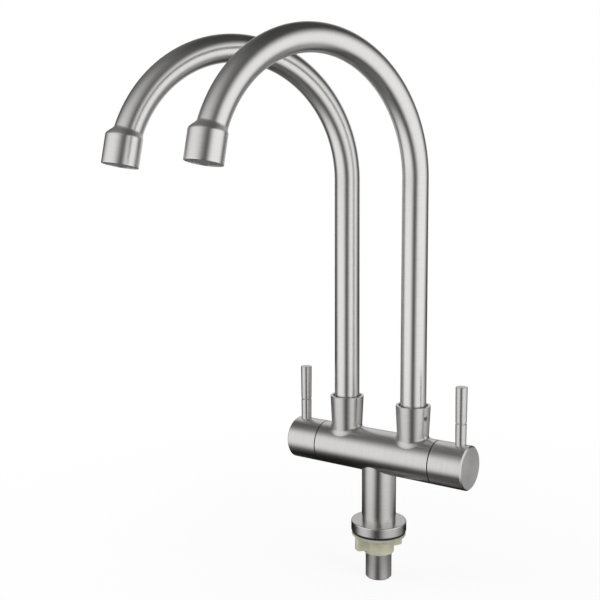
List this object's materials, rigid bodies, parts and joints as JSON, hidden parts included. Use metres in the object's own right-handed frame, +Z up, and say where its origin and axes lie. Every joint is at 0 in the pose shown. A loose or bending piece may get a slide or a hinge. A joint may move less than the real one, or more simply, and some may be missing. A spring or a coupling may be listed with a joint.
{
  "type": "sink tap",
  "caption": "Deck-mounted sink tap: a horizontal barrel with a quarter-turn lever at each end, swivelling gooseneck spouts, a central stem and a winged clamping nut.",
  "frame": {"origin": "centre of the deck gasket's underside, where the tap sits on the deck", "axes": "+Z up out of the deck along the stem; X along the barrel, with the left handle at -X; the spouts reach towards -Y"},
  "size_m": [0.1904, 0.2178, 0.4232],
  "materials": {
    "brushed_stainless": "satin",
    "tube_stainless": "satin",
    "shank_steel": "satin",
    "screw_steel": "satin",
    "screen_steel": "satin",
    "valve_brass": "machined",
    "disc_ceramic": "lapped",
    "black_rubber": "matte",
    "bush_plastic": "matte",
    "aerator_plastic": "matte",
    "washer_fibre": "matte",
    "nut_nylon": "satin"
  },
  "bodies": {
    "tap": {"valve_body": "brushed_stainless", "stem_column": "brushed_stainless", "base_flange": "brushed_stainless", "inlet_shank": "shank_steel", "deck_gasket": "black_rubber", "left_spout_socket": "brushed_stainless", "left_socket_screw": "screw_steel", "left_swivel_bush": "bush_plastic", "left_cartridge_body": "valve_brass", "left_seat_seal": "black_rubber", "left_valve_gasket": "black_rubber", "left_fixed_disc": "disc_ceramic", "right_spout_socket": "brushed_stainless", "right_socket_screw": "screw_steel", "right_swivel_bush": "bush_plastic", "right_cartridge_body": "valve_brass", "right_seat_seal": "black_rubber", "right_valve_gasket": "black_rubber", "right_fixed_disc": "disc_ceramic"},
    "washer": {"clamp_washer": "washer_fibre"},
    "nut": {"mounting_nut": "nut_nylon"},
    "left_spout": {"left_spout_tube": "tube_stainless", "left_spout_foot": "valve_brass", "left_spout_o_ring_1": "black_rubber", "left_spout_o_ring_2": "black_rubber", "left_outlet": "tube_stainless", "left_aerator_ring": "aerator_plastic", "left_aerator_core": "aerator_plastic", "left_aerator_screen": "screen_steel", "left_aerator_seal": "black_rubber"},
    "left_handle": {"left_handle_hub": "brushed_stainless", "left_lever_stem": "brushed_stainless", "left_lever_grip": "brushed_stainless", "left_handle_screw": "screw_steel", "left_spindle": "valve_brass", "left_spindle_o_ring": "black_rubber", "left_moving_disc": "disc_ceramic", "left_circlip": "screw_steel"},
    "right_spout": {"right_spout_tube": "tube_stainless", "right_spout_foot": "valve_brass", "right_spout_o_ring_1": "black_rubber", "right_spout_o_ring_2": "black_rubber", "right_outlet": "tube_stainless", "right_aerator_ring": "aerator_plastic", "right_aerator_core": "aerator_plastic", "right_aerator_screen": "screen_steel", "right_aerator_seal": "black_rubber"},
    "right_handle": {"right_handle_hub": "brushed_stainless", "right_lever_stem": "brushed_stainless", "right_lever_grip": "brushed_stainless", "right_handle_screw": "screw_steel", "right_spindle": "valve_brass", "right_spindle_o_ring": "black_rubber", "right_moving_disc": "disc_ceramic", "right_circlip": "screw_steel"}
  },
  "joints": [
    {"name": "left_spout_swivel", "type": "hinge", "parent": "tap", "child": "left_spout", "pos_m": [-0.0304, 0, 0.0662], "axis": [0, 0, 1], "range_deg": [-150, 10]},
    {"name": "left_handle_turn", "type": "hinge", "parent": "tap", "child": "left_handle", "pos_m": [0, 0, 0.0662], "axis": [1, 0, 0], "range_deg": [0, 90]},
    {"name": "right_spout_swivel", "type": "hinge", "parent": "tap", "child": "right_spout", "pos_m": [0.0304, 0, 0.0662], "axis": [0, 0, 1], "range_deg": [-8, 190]},
    {"name": "right_handle_turn", "type": "hinge", "parent": "tap", "child": "right_handle", "pos_m": [0, 0, 0.0662], "axis": [1, 0, 0], "range_deg": [0, 90]},
    {"name": "clamp_travel", "type": "slide", "parent": "tap", "child": "washer", "axis": [0, 0, 1], "range_m": [-0.02, 0]},
    {"name": "nut_turn", "type": "hinge", "parent": "washer", "child": "nut", "pos_m": [0, 0, 0], "axis": [0, 0, 1], "range_deg": [-3960, 0]}
  ],
  "couplings": [
    {"joint": "clamp_travel", "follows": "nut_turn", "m_per_rad": 0.00028871}
  ]
}
